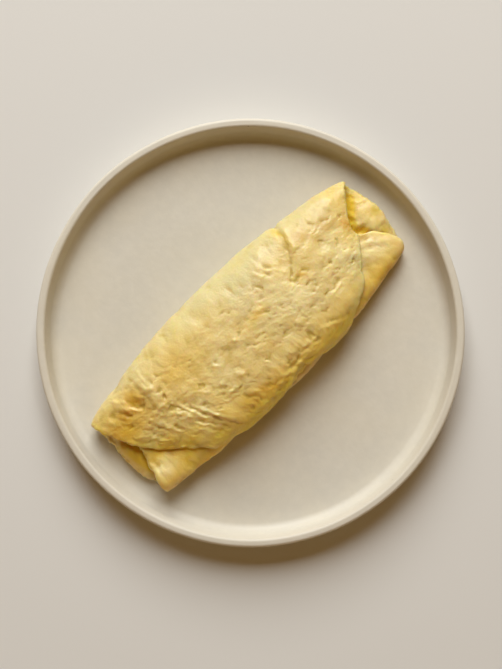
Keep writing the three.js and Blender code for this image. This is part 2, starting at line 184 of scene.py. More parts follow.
# ---- Wrinkles of the skin ----
# Creases placed one by one: height (below 0 is a groove), half-width, then X and Y of each point
TOP_CREASES = [
    # pleats that run down from the pit near the left end to the free side
    (-0.6, 0.9, -49.8, 1, -48.4, -3, -47.3, -7, -45.8, -10, -44.4, -13.5, -42.8, -17, -41.2, -20.5, -39,
     -24, -36.5, -28, -34, -32),
    (0.6, 0.9, -50.6, -2, -49.4, -5.5, -48.2, -8.5, -47, -12, -45.8, -15),
    (0.9, 1.1, -46.2, -7, -44.6, -10.5, -42.8, -14, -41, -17.5, -39, -21, -36.6, -25),
    (0.7, 0.9, -58, 2, -55.8, -0.5, -54, -3.4, -52.2, -6.5, -50.6, -9.6),
    (-0.5, 0.8, -54.6, 3.4, -53, 0.2, -51.4, -3, -50, -6.4),
    (0.45, 0.8, -53.2, 3.6, -51.6, 0.8, -50.4, -1.8),
    (-0.55, 0.9, -50.8, -11, -49, -14, -47, -17, -45.4, -19.6, -43.4, -22.6, -40.8, -26),
    (0.5, 0.8, -51.8, -12, -49.8, -15, -47.6, -18, -45.4, -20.6, -43.4, -23.6),
    (-0.45, 0.9, -49, -20, -46.6, -23, -43.6, -25.4, -41, -27.6),
    (0.35, 0.9, -54, -14, -52, -17.5, -49.6, -21, -47, -24.4),
    # the pit and the bulge above it
    (-0.9, 1.3, -54.2, 8.6, -53, 7.6), (0.5, 2, -56.4, 25, -57.4, 19, -56.9, 13, -57.8, 8.4),
    (-0.35, 1.2, -60.2, 24, -60.8, 19, -60.2, 14, -60.6, 9, -59.6, 6.6),
    (-0.5, 1.4, -53.4, 22, -52.4, 16, -52.8, 11), (0.55, 1.6, -59.6, 5.4, -57, 6, -55, 4),
    (0.4, 0.7, -54.4, 27.5, -54.8, 24.6, -55.6, 22),
    # folds about the brown hollow
    (0.8, 1.1, -73, 18.6, -71, 16.4, -69, 13.4, -66.6, 11),
    (-0.7, 1.4, -69, 20.4, -67.6, 16.6, -65.6, 13.6, -63.6, 12),
    (-0.7, 1.2, -76, 19.6, -74.6, 16.2, -73, 14, -71.6, 13),
    (0.45, 1, -64.4, 21, -62.6, 17.8, -61.6, 14.6), (0.45, 0.9, -74.4, 25.6, -72, 22.6, -70, 20),
    (0.4, 0.8, -83.4, 20.6, -82.2, 18.2, -81.2, 16), (-0.35, 0.9, -81, 22, -79.2, 18.6, -77.6, 15.8),
    (0.35, 0.8, -88.2, 19, -87.2, 16.6, -86.2, 13.6),
    # streaks between the brown hollow and the flap's edge
    (0.45, 0.9, -79.6, 5.6, -77, 2.6, -74.4, -0.2, -72.4, -3),
    (-0.4, 0.8, -73, 5, -71.4, 1, -69.6, -3, -67.6, -6.6), (0.45, 0.8, -74, 1.4, -72.2, -1, -70.6, -4),
    (0.35, 0.9, -71.4, -5, -69, -8, -66.4, -11), (-0.35, 0.8, -69.4, 4, -67, 0.4, -65.2, -3.4),
    (0.35, 0.9, -67.6, 6, -65.2, 2, -63, -1.8), (-0.35, 0.8, -66, -2, -64, -6, -62.4, -10),
    (0.4, 0.9, -64, -3, -62, -7, -60, -10.4), (-0.4, 0.9, -61, -5, -59, -9, -56.8, -12.6),
    (0.35, 0.9, -59, -7, -57, -10.6, -54.6, -14), (-0.35, 0.9, -58, -13, -55.6, -16.6, -53, -20),
    (0.3, 0.8, -67, -8.4, -65.8, -11.4, -64.6, -14), (-0.35, 0.8, -77.6, 10, -75, 8.4, -72.6, 8),
    (0.3, 0.8, -76.6, 12, -74, 11, -71.6, 10.6), (-0.4, 0.9, -64.4, 10, -62, 7.4, -60, 6.4),
    (0.35, 0.8, -63, 7, -61.6, 3.6, -60, 1),
    # middle
    (0.5, 0.9, -9.4, 3.8, -7, 2.2, -4.6, -0.4), (-0.45, 0.9, -6, -3, -3.6, -5.2, -1, -7),
    (-0.6, 1.1, -24, 2, -21.6, 1.2), (0.4, 0.8, -25.4, 2, -23.8, -0.4), (-0.6, 1, -38, -0.6, -35, -2.2),
    (0.35, 0.9, -39, -2, -37, -4.4, -35.4, -7), (0.4, 0.8, -29.4, -6.6, -27.6, -9.4),
    (0.4, 0.8, -20, -8.4, -18, -10.6, -16, -12.6), (0.45, 0.8, -28.6, -12.8, -26, -14.6),
    (-0.45, 0.8, -28, -15, -25, -18), (0.45, 0.8, -25.4, -13.2, -23, -15.2),
    (-0.35, 0.8, -34.6, -9.6, -32, -12, -30, -14), (0.5, 0.9, -21.6, -19.6, -19, -22, -17.6, -23.6),
    (-0.5, 1.3, -15, -22, -12, -26, -8, -29.6, -5, -31), (-0.4, 0.9, -12, -22, -9.4, -24),
    (0.4, 0.8, -5.6, -14.6, -3.6, -17.4, -1.4, -18.6), (-0.4, 0.7, -4.4, -15, -2.4, -17),
    (-0.35, 1, 6.6, 7, 9, 4, 12, 2.2, 14.4, 0.4), (0.35, 0.9, 5, 9, 8, 6.8, 11, 5, 14, 3.4),
    (0.35, 0.8, 9, -9, 10.8, -12.4), (-0.35, 0.8, 12, -12, 14, -15), (0.35, 0.9, 19.6, -12.4, 22, -15),
    (-0.35, 0.9, 17.6, -11.4, 19, -14),
    # upright wrinkles right of the middle
    (0.45, 0.8, 21.6, 20, 23, 17.4, 25, 14), (-0.45, 0.8, 24, 20, 25.6, 17, 27.6, 13.4),
    (0.5, 0.8, 26, 20.6, 27.4, 17.6, 29.4, 14), (-0.5, 0.8, 28.6, 20, 29.6, 16, 31, 12.4, 33, 9.4),
    (0.4, 0.8, 30, 15, 31.6, 12, 34, 8.6), (-0.35, 0.8, 17, 16, 19, 13, 21, 10.6),
    (0.35, 0.8, 14.6, 17.6, 17, 14, 19.4, 11.4),
    # the fold that starts at the notch in the closed side
    (-0.75, 1, 47.2, 30, 46.2, 25, 45.2, 21, 44.2, 17, 42, 13.4, 39, 9.6, 36, 6, 32, 2.6),
    (0.5, 1.6, 49.4, 27, 48.6, 23, 47.4, 19, 46.4, 15.6, 44.6, 12), (-0.5, 1.3, 33, 2, 36, 3, 39.6, 2.6),
    (-0.7, 1.1, 37.4, -3, 39.2, -3.8), (-0.5, 0.9, 40.2, 4.4, 41.6, 2.6, 43.2, 0.8),
    # right third
    (0.5, 0.7, 61, 20.6, 61.6, 17.6, 63.8, 15.6, 65, 16), (-0.4, 0.7, 59.8, 19, 60.6, 16.8, 62.4, 14.8),
    (-0.45, 0.8, 65.4, 14, 67.6, 12.4, 69, 12), (-0.5, 0.8, 57, 8, 58.6, 6.4, 60, 6),
    (-0.65, 1, 63.2, 1.8, 64.4, 1.2), (-0.45, 0.9, 53, -3.6, 55, -4.4),
    (-0.45, 0.8, 53.8, -9, 55.4, -9.8), (-0.4, 0.9, 46, 12.8, 48, 12),
    (-0.45, 0.8, 39.6, -13.6, 45, -14.2, 49, -13.2, 51.6, -12.2),
    (0.35, 0.9, 41, -15.6, 46, -16, 50, -15), (-0.3, 0.7, 70.6, -4.4, 67.6, -7, 65.4, -9.4, 63, -12),
    (0.35, 0.8, 71.6, 19.6, 72.6, 17, 74.6, 16), (0.35, 0.8, 76.6, 19, 77.6, 17),
    (-0.35, 0.7, 73, 10, 75, 8.4),
    # waves along the free side
    (0.4, 1, 13, -23.4, 19, -24.6, 26, -24.4, 31, -26, 36, -28.4),
    (-0.45, 1, 1, -26.8, 6, -26.4, 11, -25.2, 17, -26.6, 24, -26.8),
    (-0.4, 1, 26, -22, 31, -23.6, 35.6, -26, 39, -28.6), (-0.4, 0.9, 32.6, -17.4, 35, -20.4),
    (0.35, 1, 0, -28.8, 5, -28.4, 12, -28.2), (-0.35, 1.1, 19, -21.6, 24.6, -21.4),
    (-0.5, 0.6, -7, -30.8, 0, -31.4, 7, -31.6, 14, -31),
    (0.4, 0.6, -5, -32.4, 2, -32.9, 10, -32.9, 14, -32.4), (-0.45, 1, -25, -21, -22, -23.4, -19.4, -26.4),
    (0.4, 0.9, -22.6, -20.6, -19.6, -22.8, -17.4, -25.4), (-0.4, 1.1, -15, -19.6, -11.6, -21.4),
    (-0.45, 1.1, -21, -27.4, -16.4, -28.8), (0.4, 1.1, -26, -25, -23, -28),
]
# Creases of the flap that is folded in first, where it shows at both ends
TUCK_CREASES = [
    (0.35, 1.2, 72, -8, 76, -12, 81, -16.4, 84, -19), (-0.3, 1, 69, -9.6, 74, -14.4, 79.6, -19.4),
    (0.35, 1.1, 66.6, -13, 71, -17, 76, -21.6), (-0.4, 1.1, 65, -15.6, 69.6, -20, 74, -24),
    (0.3, 1.2, 61, -19.6, 65.6, -23.4), (0.3, 0.9, 82, -7, 84, -11, 85.6, -15),
    (0.4, 0.9, -79.4, -10, -77.4, -13, -76.6, -17), (-0.35, 0.9, -81, -12, -79.6, -15, -78.8, -18),
    (0.35, 0.9, -73.4, -15.6, -73, -18, -73.8, -20.6), (0.5, 0.8, -73.4, -25, -71.8, -27.4, -70.6, -29.4),
    (-0.3, 1, -83.4, -20, -80, -23, -77, -25), (0.7, 0.8, -83.6, -9, -83.4, -13, -84.4, -17, -85.6, -21),
    (-0.5, 0.8, -82, -10, -81.6, -14, -82.4, -18, -83.4, -22),
    (0.5, 0.7, -76, -12, -74.6, -15, -74.2, -18), (-0.4, 0.7, -77.6, -16, -76, -19, -76.4, -22),
    (0.4, 0.8, -81.4, -17, -79.6, -19.4, -79.8, -22), (0.45, 0.8, 75, -10, 78.6, -13.4, 82, -16),
    (-0.4, 0.8, 73.6, -12, 77.4, -15.4, 80.6, -18.6), (0.4, 0.8, 71.6, -13.6, 75.4, -17, 78.6, -20.4),
]
CREASE_SHARE = 0.62  # height of the placed creases, as a share of what is stated above
FLAP_CREASE_SHARE = 0.6  # the same for the creases of the flap below, on top of it
CREASE_REACH = 5  # half-widths from a crease to where it ends
CREASE_SKIRT = 0.45  # height of the wide foot that each crease stands on, as a share of its own
SKIRT_WIDTH = 2.2  # width of that foot in half-widths
CREASE_TIP = 0.15  # share of its height that a crease has at its two ends
CREASE_WARP = (0.75, 3.2)  # how far the creases wander, and over what length
CREASE_UNEVEN = (0.8, 3.6)  # how much their height varies, and over what length

# Crinkles all over the skin, in the flat sheet's own coordinates
CRINKLE_TURN = 48.0  # degrees from X to the crinkles' run
CRINKLE_STRETCH = 0.7  # their width over their length
CRINKLE_SIZES = ((5.2, 0.30), (2.9, 0.14), (1.7, 0.09))  # width and height
CRINKLE_WARP = (1.3, 4.0)
CRINKLE_TOPS = (0.5, 1.6)  # level and sharpness of their ridges
CRINKLE_SHARE = 0.6  # how much the ridges count, and how much the lumps between them
BROAD_WAVES = ((10.0, 0.42), (6.5, 0.16))  # width and height
# Short strokes and pits: how many, seed, half-lengths, half-widths, heights, how far they turn from
# the crinkles' run in degrees, and the share of them that stands up
STROKES = (2600, 11, (0.7, 1.9), (0.42, 0.85), (0.05, 0.26), 38.0, 0.4)
PITS = (2000, 12, (0.55, 1.2), (0.5, 0.9), (0.08, 0.38), 60.0, 0)
STROKE_HALF_SPREAD = 92  # how far from the middle they lie along X
STROKE_REACH = 2.4  # half-lengths from a stroke's middle to where it ends
STROKE_BOW = 0.06
CLUSTER_SIZE = 7.0  # width of the groups the strokes and pits come in
CLUSTER_SHIFT = 0.7  # more leaves fewer places bare
# How rough the skin is: average, variation, width of its patches, and the limits
ROUGHNESS, ROUGH_VARIATION, ROUGH_PATCH, ROUGH_LIMITS = 0.75, 0.3, 26, (0.25, 1.7)
# How much rougher it is about a spot: X, Y, change, radius along X, radius along Y
ROUGH_SPOTS = [
    (-16, 22, -0.2, 26, 14), (0, 12, -0.1, 14, 9), (10, 33, -0.4, 60, 7), (62, 24, -0.35, 22, 7),
    (62, 8, -0.4, 14, 7), (-68, 15, 0.35, 12, 9), (-50, 4, 0.15, 12, 22), (27, 14, -0.1, 9, 8),
    (0, -27, 0.85, 45, 7), (53, 2, -0.25, 8, 9), (30, -8, 0.2, 10, 12), (-50, 16, 0.2, 8, 10),
    (-25, -12, 0.15, 18, 9),
]
FRAYS = ((0.6, 5.0), (0.4, 2.4))  # how far the sheet's border wanders, and over what length
FRAY_APART = 50.0  # how far apart the two ends' fraying is taken from the same noise
ROLL = (0.4, 1.2, 0.75)  # the lip along the top flap's left end: height, place and half-width
ROLL_LEAST = 0.35  # least share of its height that it keeps
ROLL_VARIATION = (1.6, 4.0)  # how much it varies, and over what length
ROLL_FULL = (-8, 8)  # Y below which it grows, and over what length
ROLL_END = (-48, 6)  # X before which it fades out, and over what length
HEM_PROFILE = ((0.22, 0.3), (0.5, 0.42), (0.78, 0.3))  # share of the thickness, bulge
EDGE_THICKNESS = 2.4  # most of the border's thickness that its rounding follows
UNDER_COVER = 0.1  # most that the wrinkles of a covered face may stand out
COVER_MARGIN = 1.5  # how far outside the cover's ends that limit starts
RELIEF_START = (0.4, 2.5)  # height above the well where wrinkles start, and over which they grow
LEAST_GAP = 0.15  # least height of the skin above the well
HOLLOW_BLUR = 5  # spans over which a hollow of the outer face is told from its neighbourhood
LUMP_BLUR = 3  # the same on the inner face

# Lumps on the inside of the bottom layer, where its ends show: X, Y, height, radius along X and Y
END_LUMPS = [
    (86.5, 0, 4.8, 12, 13), (85, -8, 0.8, 4, 4), (89, -2, -0.2, 2.4, 2.6), (87.4, -14, 0.2, 2.6, 2.6),
    (83, -5, 0.4, 3, 3), (-90, -4, 3.8, 6, 16), (-84, 0, 4.6, 7, 11), (-86, 5, 1.4, 3.6, 6),
]
# Hollows between those lumps and the layers above, written as the creases are
END_GROOVES = [
    (-1.5, 2.6, 71, 0.4, 76.4, 4.8, 81, 9.4, 85, 13.4, 90, 19),
    (-1, 1.7, 72.6, 0.4, 75.6, -2.6, 78.4, -5.4, 81.6, -8.6),
]
LUMP_SHARPNESS = 1.2  # 1 is a round hill, and more is a flatter one with steeper sides
LUMP_WARP = (1.2, 3.5)
LUMPS_FROM = (70, 8)  # distance from the middle where they start, and over which they grow
END_GRAIN = ((4.2, 0.12), (2.4, 0.12), (1.4, 0.08))  # width and height of the ends' crumbs
# Where the ends show the moist golden inside: X, Y, strength, radius along X and Y
DEEP_SPOTS = [
    (76, -2.6, 1, 2.6, 3), (79, -5.8, 1, 2.6, 2.6), (76.4, 3.4, 1, 3.2, 4), (80.4, 8, 1, 3.4, 4.5),
    (84.4, 12.4, 1, 3, 4.5), (87, 16.4, 0.8, 2.2, 3), (-85, 3, 1, 6, 14), (-84, -2, 1, 3, 5),
    (-86, -12, 0.5, 3, 8),
]
DEEP_GAIN, DEEP_START = 1.6, 0.3

# ---- Colours, linear ----
EGG_MIDDLE = (0.81, 0.615, 0.225)
EGG_LIGHT = (0.85, 0.69, 0.31)
EGG_TAN = (0.73, 0.525, 0.165)
EGG_GOLD = (0.86, 0.59, 0.12)
EGG_PALE = (0.745, 0.65, 0.325)
# painted highlight for the ridges of the relief, then painted shade for its grooves
EGG_RIDGE_HIGHLIGHT = (0.88, 0.74, 0.34)
EGG_GROOVE_SHADE = (0.58, 0.40, 0.08)
EGG_BROWN = (0.74, 0.38, 0.02)
EGG_WET = (0.70, 0.52, 0.04)
EGG_INSIDE = (0.92, 0.62, 0.03)
# amber of orange patches and of painted shade
EGG_AMBER = (0.97, 0.66, 0.06)
# bright mottling, and the colour of painted light
EGG_MOTTLE_AND_PAINTED_LIGHT = (0.90, 0.74, 0.36)
# colour of painted shade
EGG_PAINTED_SHADE = (0.48, 0.30, 0.04)
GLAZE_COOL = (0.65, 0.61, 0.52)
GLAZE_WARM = (0.68, 0.63, 0.52)
GLAZE_LIGHT = (0.74, 0.69, 0.58)
GLAZE_RIM = (0.67, 0.59, 0.46)
GLAZE_SPECK = (0.12, 0.08, 0.05)
BARE_CLAY = (0.55, 0.44, 0.33)
SPECK_DENSITY = 90
SPECK_RARITY, SPECK_SIZE = 0.6, 0.075  # share of the cells without a speck, and the largest speck
# Heights in metres between which a colour grows or fades
AMBER_HEIGHTS = (0.012, 0.019)
THIN_GLAZE_HEIGHTS = (0.0095, 0.0165)
BARE_CLAY_HEIGHTS = (0.0004, 0.0014)
FLOOR_COLOUR = (0.72, 0.70, 0.66)
FLOOR_RADIUS = 1.9
FLOOR_CORNERS = 96

# Colour spots: X, Y, strength, radius along X, radius along Y; on the top layer, then below it
COLOUR_SPOTS = {
    "browning": ([
        (-65.5, 18, 0.65, 5, 5.5), (-74.5, 16.5, 0.65, 3.4, 3), (-77, 10, 0.8, 7, 5.5),
        (-84, 11, 0.5, 5, 8), (-66, 8, 0.35, 6, 4), (66, 11, 0.35, 6, 4), (-40, 15, 0.14, 7, 5),
        (54, 16, 0.3, 5, 3.4), (-9, -26, 0.3, 8, 4), (-22, -23, 0.35, 8, 3), (-54, 8, 0.35, 2, 2.4),
        (74, 4, 0.7, 3, 4.6), (34, -21, 0.2, 8, 4), (8, -30.5, 0.4, 9, 1.6), (10, 4, 0.2, 5, 2),
        (-16, -24, 0.3, 3, 2), (-11, -28, 0.4, 3.4, 2), (-24, -27, 0.3, 3, 2), (-4, -23, 0.3, 3, 2),
        (6, -27, 0.3, 4, 1.6), (18, -28, 0.3, 3, 1.6), (-70, -11.6, 0.5, 4, 2.4), (-67, -8, 0.15, 9, 6),
    ], [
        (70, -27, 0.4, 9, 2.4), (60, -28, 0.2, 16, 6), (-91.5, -5, 0.5, 1.6, 10), (86, -24, 0.25, 3, 3),
        (-70.6, -15, 0.6, 4, 2.4),
    ]),
    # painted shade: darkens hollows, the shade under the top flap's left border and other places that lie
    # in shade
    "deep": ([
        (-75, 9, 0.45, 7, 6), (-65, 8, 0.2, 5, 4), (-24, -24, 0.25, 6, 3), (-86, 12, 0.3, 4, 8),
        (74.5, 3, 0.45, 3, 6), (65, 12, 0.35, 6, 5), (50, 17, 0.25, 6, 5), (82, 13, 0.3, 3, 5),
        (30, 22, 0.15, 10, 6), (62, 22, 0.1, 18, 7),
    ], [
        (86, 13.5, 0.3, 2.6, 4), (84, 5, 0.12, 5, 6), (-77, -6, 0.35, 5, 3), (-87.4, 0, 0.5, 2.6, 9),
        (-70, -13, 0.25, 4, 3), (-61, -26, 0.4, 5, 3), (-82, -5, 0.25, 2.4, 2.4), (-85, -19, 0.15, 3, 4),
    ]),
    # golden patches, and a painted shade tint that makes the shaded free side and the shade under the top
    # flap's left border more golden
    "gold_and_shade_tint": ([
        (-71, -9, 0.9, 6, 4), (-64, -16, 0.7, 5, 3), (-10, -31, 0.95, 70, 6), (-82, 11, 0.75, 10, 14),
        (-70, 4, 0.2, 10, 16), (-62, -12, 0.45, 12, 8), (-52, -20, 0.4, 12, 8), (-35, -20, 0.3, 14, 8),
        (30, -24, 0.3, 25, 5), (-40, 15, 0.45, 9, 7), (-66, 17, 0.6, 6, 6), (-24, -24, 0.6, 8, 3),
        (9, 4, 0.7, 7, 2.6), (39, 2.4, 0.7, 4, 3), (45, 25, 0.5, 2.5, 6), (80, 14, 0.5, 8, 8),
        (72, 0, 0.4, 8, 9),
    ], [
        (-84, -24, 0.5, 9, 4), (-78, -6, 0.9, 5, 4), (-79, -23.5, 0.5, 10, 3), (70, -27, 0.7, 16, 5),
        (86, 4, 0.3, 8, 14), (0, -28, 0.8, 50, 8),
    ]),
    # pale patches of the skin, and a painted sheen on the top just right of the middle
    "pale_and_sheen": ([
        (-10, 30, 0.8, 75, 8), (12, 16, 0.95, 11, 12), (35, 30, 0.9, 14, 5), (20, 8, 0.6, 8, 6),
        (38, 24, 0.6, 14, 7), (62, 26, 0.4, 16, 5), (60, 20, 0.45, 16, 7), (50, -2, 0.35, 24, 12),
        (-57, 15, 0.35, 4, 8), (30, -8, 0.3, 9, 10), (-4, -19, 0.35, 9, 6), (-44, -8, 0.4, 4, 8),
    ], [
        (-80, -15, 0.75, 6, 8), (77, -14, 0.2, 9, 8),
    ]),
    # painted light: lightens places that lie in shade under the top flap's left border, on the flaps at
    # both ends and along the free side, and paints a sheen on the top
    "painted_light": ([
        (14, 12, 1, 14, 6), (-15, 7, 0.5, 5, 4), (45, 18, 1, 5, 4), (-46, -14, 0.8, 4, 8),
        (16, 0, 0.6, 6, 5), (-64, -12, 0.5, 8, 5), (-45, -18, 0.8, 5, 7), (-38, -29, 0.6, 16, 3),
        (22, 2, 0.7, 8, 7), (33, -8, 0.8, 8, 10), (-44, -8, 0.9, 3.4, 10), (-76, -1, 1.4, 6, 5),
        (-70, -8, 1.2, 5, 4), (-5, -8, 0.35, 7, 7), (52, -8, 0.35, 8, 7), (66, -11, 1.4, 7, 5),
        (27, -5, 1.2, 6, 5), (16, 5, 0.8, 6, 4), (-75, 2, 0.8, 4, 4), (-64, -9, 0.8, 5, 5),
        (50, -28, 0.5, 10, 3),
    ], [
        (-78, -17, 1.6, 7, 8), (-72, -13, 0.5, 5, 2.6), (-56, -29, 0.8, 22, 3), (77, -14, 1.6, 8, 7),
        (85, -6, 0.5, 4, 4), (79, -1, 0.6, 3, 4),
    ]),
    # orange patches, and a painted shade tint: saturated amber where the sheet lies in shade, along the
    # free side, under the top flap's left border and on the ends' edges
    "amber_and_shade_tint": ([
        (-90, 19, 0.7, 1.8, 6), (-66, 19, 0.3, 4, 4), (-75, -6, 0.4, 3, 3), (-40, 0, 0.15, 8, 6),
        (52, -20, 0.2, 12, 6), (-78, 6, 0.3, 7, 7), (-79, -1, 0.5, 3, 4), (-70, -11, 0.3, 5, 3.4),
        (-60, -18, 0.6, 6, 3), (-48, -25, 0.6, 8, 3), (0, -34, 0.95, 60, 4), (-38, -31, 0.7, 16, 3),
        (36, -30, 0.5, 12, 3),
    ], [
        (-64, -20, 0.9, 10, 7), (-75, -9, 0.9, 7, 4), (-90.5, 9, 0.9, 3, 11), (-60, -30, 0.9, 24, 3),
        (50, -31, 0.6, 16, 3), (85, 2, 0.35, 5, 14), (-86, -18, 0.3, 3, 9), (72, -23, 0.3, 14, 5),
    ]),
    "wet": ([
        (45.5, 24, 0.5, 1.8, 7), (-25, 24, 0.25, 4, 8), (22, 30, 0.2, 7, 3), (88.5, 17, 0.6, 2, 4),
    ], [
        (88, 14, 0.9, 3, 4), (88.6, 8, 0.7, 2.4, 3), (86.4, -12.6, 0.9, 3, 3.2), (89.6, -2, 0.8, 2.6, 3),
        (-83.5, 0, 0.5, 2.4, 5), (-77, -6, 0.4, 3, 2.4),
    ]),
}

# ---- Camera and light ----
IMAGE_LONG_SIDE = 669  # pixels
PLATE_IN_IMAGE = 429.3  # the plate's diameter in the photograph, in pixels
CAMERA_ABOVE_RIM = 700.0
IMAGE_TURN = 45.6  # degrees from the photograph's right to the omelette's length
PLATE_OFF_CENTRE = (-0.6, 1.65)  # pixels right and up from the image's centre
SENSOR = 36.0
# Lights: azimuth and elevation in degrees, distance and size in metres, power in watts, colour.
# The window is at the top of the photograph. The wall is the room opposite, which throws light back.
LIGHTS = {
    "window": (48.4, 38.0, 3.0, (1.9, 2.3), 123.0, (0.96, 0.99, 1.0)),
    "wall": (228.4, 18.0, 3.0, (3.2, 1.4), 12.0, (1.0, 0.74, 0.40)),
}
ROOM_COLOUR = (1.0, 0.54, 0.14)
ROOM_STRENGTH = 0.14
BACKDROP = (0.60, 0.58, 0.54)


# ---- Curves, hills and noise ----
NO_LENGTH = 1e-9  # a vector shorter than this counts as having no length


def mix(a, b, t):
    return a + (b - a) * t


def smooth(t):
    t = np.clip(t, 0, 1)
    return t * t * (3 - 2 * t)


def unit(vectors):
    """The vectors made one long; those of no length stay as they are."""
    return vectors / np.maximum(np.linalg.norm(vectors, axis=-1, keepdims=True), NO_LENGTH)


def through(pairs):
    """A smooth curve through stations, level beyond the first and last one."""
    xs, ys = np.array(pairs, float).T
    slopes = np.empty_like(xs)
    slopes[1:-1] = (ys[2:] - ys[:-2]) / (xs[2:] - xs[:-2])
    slopes[0] = (ys[1] - ys[0]) / (xs[1] - xs[0])
    slopes[-1] = (ys[-1] - ys[-2]) / (xs[-1] - xs[-2])

    def at(x):
        x = np.clip(x, xs[0], xs[-1])
        i = np.clip(np.searchsorted(xs, x, side="right") - 1, 0, len(xs) - 2)
        span = xs[i + 1] - xs[i]
        t = (x - xs[i]) / span
        lean = (1 - t) * slopes[i] - t * slopes[i + 1]
        return mix(ys[i], ys[i + 1], smooth(t)) + span * t * (1 - t) * lean

    return at


NOISE_TABLE, NOISE_GAIN = 256, 1.6  # how many directions the noise has, and its strength


def gradient_noise(points, size, seed):
    """Smooth noise from about -1 to 1 at points of any dimension; size is the width of its lumps."""
    points = np.asarray(points, float) / size
    dims = points.shape[-1]
    rng = np.random.default_rng(seed)
    table = rng.permutation(NOISE_TABLE)
    gradients = unit(rng.normal(size=(NOISE_TABLE, dims)))
    cell = np.floor(points).astype(int)
    local = points - cell
    fade = local**3 * (local * (local * 6 - 15) + 10)
    total = 0
    for corner in np.ndindex(*(2,) * dims):
        corner = np.array(corner)
        index = np.zeros(points.shape[:-1], int)
        for axis in range(dims):
            index = table[(index + cell[..., axis] + corner[axis]) % NOISE_TABLE]
        weight = np.prod(np.where(corner == 1, fade, 1 - fade), axis=-1)
        total = total + weight * np.sum(gradients[index] * (local - corner), axis=-1)
    return total * NOISE_GAIN


def bumps(x, y, spots, sharpness=1.0):
    """Sum of round hills at the spots: X, Y, height, radius along X, radius along Y."""
    total = np.zeros_like(x)
    for cx, cy, height, rx, ry in spots:
        away = ((x - cx) / rx) ** 2 + ((y - cy) / ry) ** 2
        total += height * np.exp(-(away**sharpness))
    return total


# ---- Folding the sheet ----
left_side, right_side, cover_side = map(through, (LEFT_SIDE, RIGHT_SIDE, COVER_SIDE))
tuck_level, cover_level, cover_edge = map(through, (TUCK_LEVEL, COVER_LEVEL, COVER_EDGE_LEVEL))
cover_lift = through(COVER_LIFT)
base_end, tuck_end, cover_end = (
    {end: through(stations) for end, stations in ends.items()} for ends in (BASE_END, TUCK_END, COVER_END)
)
# The ends that a part has on its first line and on its last one
PART_ENDS = {
    TUCK: (tuck_end, tuck_end),
    RIGHT_FOLD: (tuck_end, base_end),
    BASE: (base_end, base_end),
    LEFT_FOLD: (base_end, cover_end),
    COVER: (cover_end, cover_end),
    DROP: (cover_end, cover_end),
}


def rounded_side(turn, depth, foot, top, roundness=ROUNDNESS):
    """Setback and height on a rounded side; turn runs from 0 at its foot to 1 at its top."""
    angle = (turn - 0.5) * math.pi
    power = 2 / roundness
    rise = math.copysign(abs(math.sin(angle)) ** power, angle)
    back = depth * (1 - abs(math.cos(angle)) ** power)
    return back, (foot + top) / 2 + rise * (top - foot) / 2


def top_of(x, inward):
    """Level of the top flap's outer face, which thins out towards its ends."""
    edge = tuck_level(x) + LAYER_GAP + SHEET_EDGE + cover_lift(x)
    return mix(edge, cover_level(x), 1 - np.exp(-inward / COVER_TAPER))


def section(part, t, x, inward=FAR_INSIDE):
    """Y and Z of the sheet's outer face in the section at x, before it is crowned."""
    left, right = left_side(x), right_side(x)
    level, top = tuck_level(x), top_of(x, inward)
    right_depth, left_depth = level * FOLD_DEPTH, cover_level(x) * FOLD_DEPTH
    if part == TUCK:
        return mix(TUCK_REACH, right_depth - right, t), level
    if part == RIGHT_FOLD:
        back, z = rounded_side(1 - t, right_depth, 0, level, FREE_SIDE_ROUNDNESS)
        return back - right, z
    if part == BASE:
        return mix(right_depth - right, left - left_depth, t), 0 * level
    if part == LEFT_FOLD:
        back, z = rounded_side(t, left_depth, 0, top)
        return left - back, z
    if part == COVER:
        return mix(left - left_depth, COVER_SHOULDER - cover_side(x), t), top
    foot = 2 * cover_edge(x) - top
    back, z = rounded_side(1 - t / 2, COVER_SHOULDER, foot, top, FREE_SIDE_ROUNDNESS)
    return back - cover_side(x), z


def flat_y(part, t, x):
    """Y of the outer face, with the hanging part laid out flat."""
    if part == DROP:
        return section(COVER, 1, x)[0] - t * DROP_LENGTH
    return section(part, t, x)[0]


def end_of(part, t, end):
    """X of the sheet's end on a line across the layers."""
    first, last = (ends[end] for ends in PART_ENDS[part])
    x = -END_GUESS if end == "low" else END_GUESS
    for _ in range(END_STEPS):
        y = flat_y(part, t, x)
        x = mix(x, mix(first(y), last(y), t), END_DAMPING)
    return float(x)


def room(part, t, x, inward):
    """Thickness the layers may take in the section at x without touching each other."""
    level = tuck_level(x)
    lower = (level - LAYER_GAP) / 2
    upper = top_of(x, inward) - level - LAYER_GAP
    turning = math.sin(math.pi * t)
    if part == RIGHT_FOLD:
        return lower * mix(1, RIGHT_FOLD_SQUEEZE, turning)
    if part == LEFT_FOLD:
        return mix(lower, upper, t) * mix(1, LEFT_FOLD_SQUEEZE, turning)
    if part == COVER:
        return upper
    if part == DROP:
        early, sharp = DROP_THINNING
        return mix(upper, SHEET_EDGE, min(1, t * early) ** sharp)
    return lower


def place(x, y, z):
    """Crowns the section, adds the swells where the point is high, and sets it on the well."""
    crowned = z * (1 + CROWN * (1 - (y / CROWN_HALF_WIDTH) ** 2))
    high = np.clip(z / cover_level(x), 0, None) ** SWELL_FOCUS
    lifted = np.clip(crowned + high * bumps(x, y, SWELLS), 0, None)
    return np.stack([x, y, WELL_LEVEL + REST_GAP + lifted], axis=-1)


def sheet_lines():
    """The lines across the layers: part, share t in it, and distances along the path."""
    total = sum(length for _, _, length, _ in PATH)
    before = 0.0
    for index, (part, spans, length, _) in enumerate(PATH):
        for i in range(1 if index else 0, spans + 1):
            t = i / spans
            yield part, t, before + t * length, total - before - t * length
        before += length


